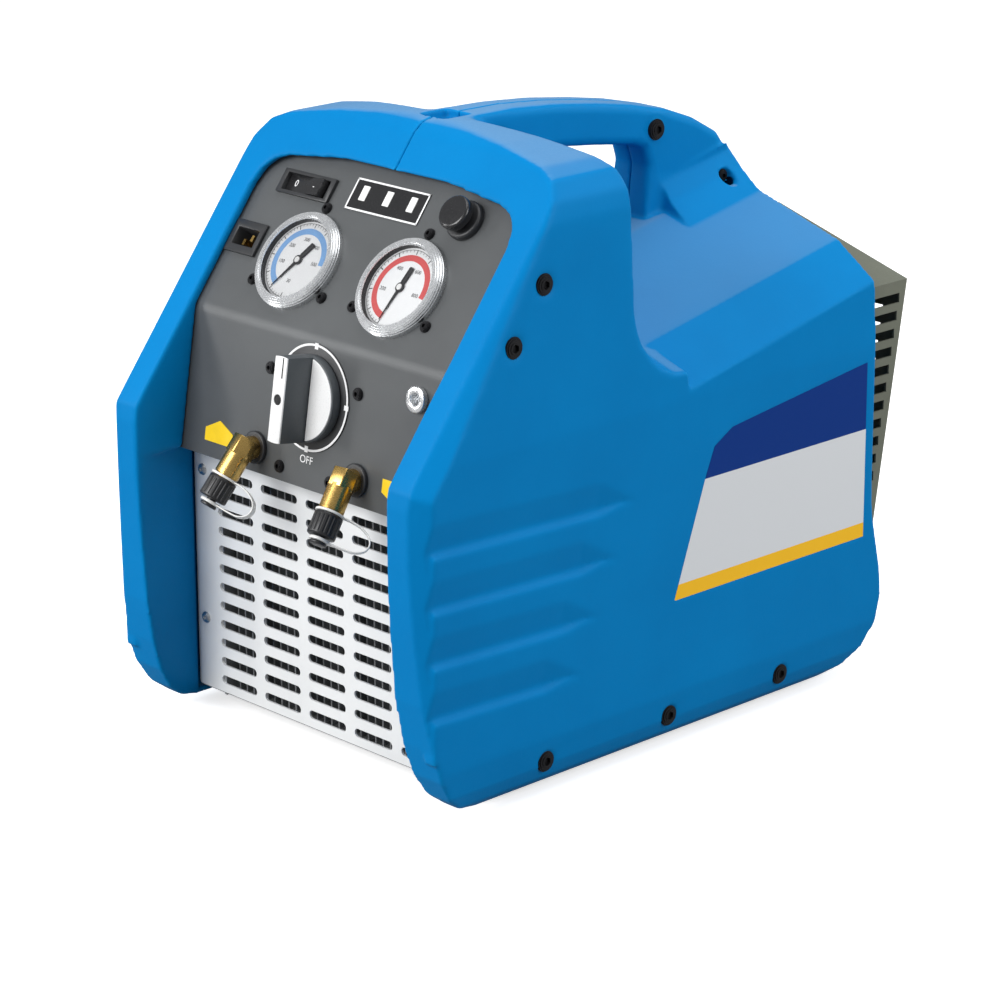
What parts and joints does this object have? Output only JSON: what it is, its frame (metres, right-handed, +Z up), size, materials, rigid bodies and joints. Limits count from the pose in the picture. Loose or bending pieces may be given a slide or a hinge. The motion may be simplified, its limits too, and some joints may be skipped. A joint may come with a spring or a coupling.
{
  "type": "refrigerant recovery machine",
  "caption": "Portable refrigerant recovery machine: moulded half shells with a carrying handle, leaning gauge panel, selector knob, capped ports, slotted grille and a fan inside.",
  "frame": {"origin": "centre of the bounding box in plan, on the floor under the feet", "axes": "+Z up, the control panel faces -Y, +X is to the right for someone facing the panel"},
  "size_m": [0.25, 0.4, 0.3376],
  "materials": {
    "blue_shell": "moulded blue plastic with a fine grain",
    "black_screw": "black oxide",
    "panel_paint": "charcoal powder coat",
    "grille_paint": "silver-white powder coat",
    "zinc_screw": "zinc plated",
    "cowl_paint": "olive grey paint",
    "plate_steel": "grey painted sheet",
    "foot_rubber": "black rubber",
    "decal_film": "printed film in three plain colours",
    "case_black": "black plastic",
    "bezel_chrome": "bright plated ring",
    "dial_blue": "white dial with a blue band",
    "dial_red": "white dial with a red band",
    "lens_glass": "clear window",
    "needle_black": "black enamel",
    "knob_white": "white plastic",
    "knob_grey": "dark grey plastic",
    "shaft_steel": "ground steel",
    "cast_alloy": "cast alloy",
    "key_black": "black plastic",
    "pin_brass": "machined brass",
    "window_black": "printed window",
    "lamp_white": "white lamp",
    "cap_black": "black plastic",
    "strap_clear": "milky plastic",
    "arrow_yellow": "yellow film",
    "motor_grey": "dark grey paint",
    "pipe_copper": "copper tube",
    "capacitor_white": "white can",
    "board_green": "circuit board"
  },
  "bodies": {
    "frame": {"left_shell": "blue_shell", "right_shell": "blue_shell", "shell_screws": "black_screw", "gauge_screws": "black_screw", "plate_screws": "black_screw", "boss_screws": "black_screw", "control_panel": "panel_paint", "front_grille": "grille_paint", "grille_screws": "zinc_screw", "cowl_screws": "zinc_screw", "rear_cowl": "cowl_paint", "base_plate": "plate_steel", "motor_cradle": "plate_steel", "rubber_feet": "foot_rubber", "side_decal": "decal_film", "low_gauge_case": "case_black", "high_gauge_case": "case_black", "selector_plate": "case_black", "switch_bezel": "case_black", "power_inlet": "case_black", "breaker_collar": "case_black", "in_boss": "case_black", "out_boss": "case_black", "fan_shroud": "case_black", "low_gauge_bezel": "bezel_chrome", "high_gauge_bezel": "bezel_chrome", "oil_drain": "bezel_chrome", "low_gauge_dial": "dial_blue", "high_gauge_dial": "dial_red", "low_gauge_lens": "lens_glass", "high_gauge_lens": "lens_glass", "valve_manifold": "cast_alloy", "compressor": "cast_alloy", "cylinder_heads": "cast_alloy", "condenser": "cast_alloy", "inlet_pins": "pin_brass", "in_port": "pin_brass", "out_port": "pin_brass", "indicator_window": "window_black", "indicator_lamps": "lamp_white", "flow_arrows": "arrow_yellow", "motor": "motor_grey", "copper_pipes": "pipe_copper", "capacitor": "capacitor_white", "control_board": "board_green"},
    "selector": {"selector_knob": "knob_grey", "selector_grip": "knob_white", "selector_stem": "shaft_steel"},
    "rocker": {"switch_rocker": "key_black"},
    "breaker": {"breaker_button": "key_black"},
    "low_needle": {"low_gauge_needle": "needle_black"},
    "high_needle": {"high_gauge_needle": "needle_black"},
    "in_lift": {"in_seal": "foot_rubber", "in_strap": "strap_clear"},
    "in_cap": {"in_cap": "cap_black"},
    "out_lift": {"out_seal": "foot_rubber", "out_strap": "strap_clear"},
    "out_cap": {"out_cap": "cap_black"},
    "fan": {"fan": "case_black", "motor_shaft": "shaft_steel"}
  },
  "joints": [
    {"name": "selector_turn", "type": "hinge", "parent": "frame", "child": "selector", "pos_m": [0, -0.16669, 0.20188], "axis": [0, 0.9877, -0.1564], "range_deg": [0, 270]},
    {"name": "rocker_tilt", "type": "hinge", "parent": "frame", "child": "rocker", "pos_m": [-0.062, -0.10496, 0.29239], "axis": [0, 0.6018, 0.7986], "range_deg": [0, 20]},
    {"name": "breaker_press", "type": "slide", "parent": "frame", "child": "breaker", "axis": [0, 0.7986, -0.6018], "range_m": [0, 0.003], "stiffness_N_per_m": 800, "springref_m": -0.001},
    {"name": "low_needle_turn", "type": "hinge", "parent": "frame", "child": "low_needle", "pos_m": [-0.04, -0.13489, 0.26297], "axis": [0, 0.7986, -0.6018], "range_deg": [-30, 240]},
    {"name": "high_needle_turn", "type": "hinge", "parent": "frame", "child": "high_needle", "pos_m": [0.04, -0.13489, 0.26297], "axis": [0, 0.7986, -0.6018], "range_deg": [0, 270]},
    {"name": "in_cap_lift", "type": "slide", "parent": "frame", "child": "in_lift", "axis": [-0.1091, -0.6034, -0.79], "range_m": [0, 0.00508]},
    {"name": "in_cap_turn", "type": "hinge", "parent": "in_lift", "child": "in_cap", "pos_m": [-0.04273, -0.19031, 0.14804], "axis": [-0.1091, -0.6034, -0.79], "range_deg": [0, 1440.5]},
    {"name": "out_cap_lift", "type": "slide", "parent": "frame", "child": "out_lift", "axis": [0.1091, -0.6034, -0.79], "range_m": [0, 0.00508]},
    {"name": "out_cap_turn", "type": "hinge", "parent": "out_lift", "child": "out_cap", "pos_m": [0.04273, -0.19031, 0.14804], "axis": [0.1091, -0.6034, -0.79], "range_deg": [0, 1440.5]},
    {"name": "fan_spin", "type": "hinge", "parent": "frame", "child": "fan", "pos_m": [0, -0.095, 0.079], "axis": [0, 1, 0], "continuous": true}
  ],
  "couplings": [
    {"joint": "in_cap_turn", "follows": "in_cap_lift", "rad_per_m": 4947.4},
    {"joint": "out_cap_turn", "follows": "out_cap_lift", "rad_per_m": 4947.4}
  ]
}
